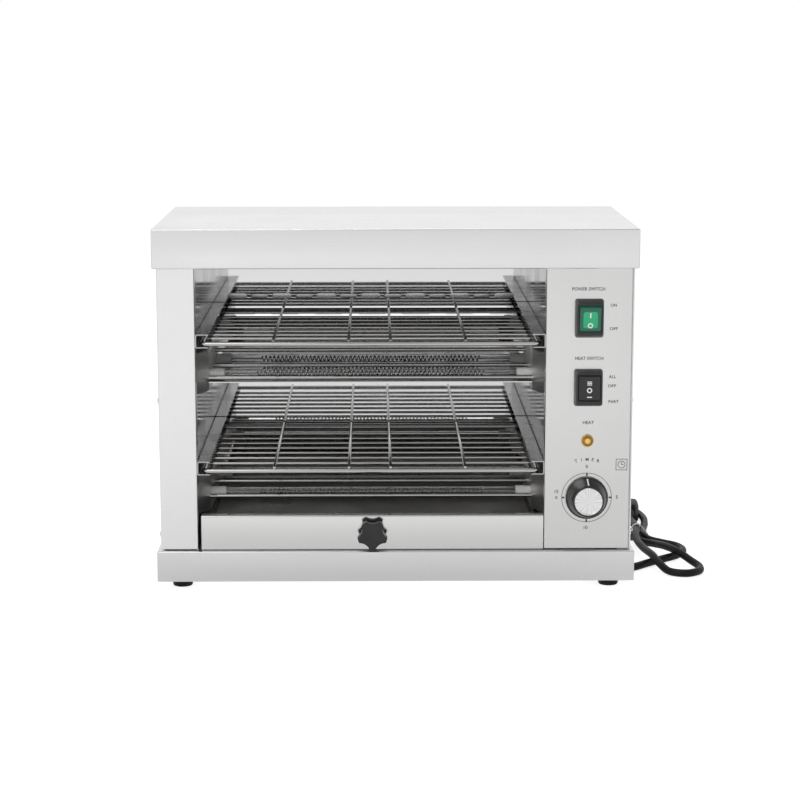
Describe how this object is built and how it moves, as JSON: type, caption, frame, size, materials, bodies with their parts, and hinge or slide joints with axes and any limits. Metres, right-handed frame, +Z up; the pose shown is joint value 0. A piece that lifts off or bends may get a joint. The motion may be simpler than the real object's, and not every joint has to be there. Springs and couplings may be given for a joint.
{
  "type": "cheese melter",
  "caption": "Open-fronted countertop cheese melter in sheet steel with sliding wire racks, quartz tube heaters, a pull-out crumb tray, rocker switches, a pilot lamp and a timer.",
  "frame": {"origin": "middle of the footprint of the object without its mains lead, on the table top", "axes": "+X to the right seen from the front, +Y to the back, +Z up"},
  "size_m": [0.5262, 0.3548, 0.342],
  "materials": {
    "case_steel": "satin stainless sheet",
    "polished_steel": "polished stainless sheet",
    "rack_wire": "bright wire",
    "plated_steel": "bright plated",
    "quartz": "clear quartz",
    "heating_wire": "dull resistance wire",
    "ceramic": "glazed white ceramic",
    "black_plastic": "black, fine texture",
    "glossy_black_plastic": "glossy black",
    "green_plastic": "translucent green",
    "amber_plastic": "translucent amber",
    "grey_plastic": "moulded",
    "white_plastic": "soft white",
    "black_rubber": "matte black",
    "spun_aluminium": "radially brushed",
    "brass": "bright"
  },
  "bodies": {
    "case": {"top_cover": "case_steel", "left_side_panel": "case_steel", "right_side_panel": "case_steel", "control_panel": "case_steel", "back_panel": "polished_steel", "base_plinth": "case_steel", "bottom_plate": "case_steel", "rubber_feet": "black_rubber", "foot_screws": "plated_steel", "left_inner_wall": "polished_steel", "right_inner_wall": "polished_steel", "chamber_roof": "polished_steel", "upper_left_rail": "polished_steel", "upper_right_rail": "polished_steel", "lower_left_rail": "polished_steel", "lower_right_rail": "polished_steel", "top_front_tube": "quartz", "top_rear_tube": "quartz", "middle_front_tube": "quartz", "middle_rear_tube": "quartz", "lower_front_tube": "quartz", "lower_rear_tube": "quartz", "top_front_coil": "heating_wire", "top_rear_coil": "heating_wire", "middle_front_coil": "heating_wire", "middle_rear_coil": "heating_wire", "lower_front_coil": "heating_wire", "lower_rear_coil": "heating_wire", "top_tube_caps": "ceramic", "middle_tube_caps": "ceramic", "lower_tube_caps": "ceramic", "middle_guard_rods": "rack_wire", "lower_guard_rods": "rack_wire", "heater_housings": "polished_steel", "middle_reflector": "polished_steel", "power_switch_body": "black_plastic", "power_switch_bezel": "black_plastic", "heat_switch_body": "black_plastic", "heat_switch_bezel": "black_plastic", "pilot_lamp_body": "grey_plastic", "pilot_lamp_lens": "amber_plastic", "timer_body": "grey_plastic", "terminal_block": "grey_plastic", "side_screws": "plated_steel", "back_screws": "plated_steel", "strain_relief": "black_rubber", "mains_cord": "black_rubber", "cord_tie": "white_plastic", "plug_body": "black_plastic", "plug_pins": "brass"},
    "tray": {"crumb_tray": "case_steel", "tray_knob": "black_plastic", "tray_knob_screw": "plated_steel"},
    "rack_above": {"upper_rack": "rack_wire"},
    "rack_below": {"lower_rack": "rack_wire"},
    "power_key": {"power_rocker": "green_plastic"},
    "heat_key": {"heat_rocker": "black_plastic"},
    "timer_dial": {"timer_shaft": "plated_steel", "timer_knob": "glossy_black_plastic", "timer_knob_cap": "spun_aluminium"}
  },
  "joints": [
    {"name": "tray_slide", "type": "slide", "parent": "case", "child": "tray", "axis": [0, -1, 0], "range_m": [0, 0.2]},
    {"name": "upper_rack_slide", "type": "slide", "parent": "case", "child": "rack_above", "axis": [0, -1, 0], "range_m": [0, 0.19]},
    {"name": "lower_rack_slide", "type": "slide", "parent": "case", "child": "rack_below", "axis": [0, -1, 0], "range_m": [0, 0.19]},
    {"name": "power_rocker_tip", "type": "hinge", "parent": "case", "child": "power_key", "pos_m": [0.1795, -0.1155, 0.25898], "axis": [-1, 0, 0], "range_deg": [0, 20]},
    {"name": "heat_rocker_tip", "type": "hinge", "parent": "case", "child": "heat_key", "pos_m": [0.1795, -0.1155, 0.19408], "axis": [-1, 0, 0], "range_deg": [-10, 10]},
    {"name": "timer_turn", "type": "hinge", "parent": "case", "child": "timer_dial", "pos_m": [0.1795, -0.1075, 0.08794], "axis": [0, 1, 0], "range_deg": [0, 270]}
  ]
}
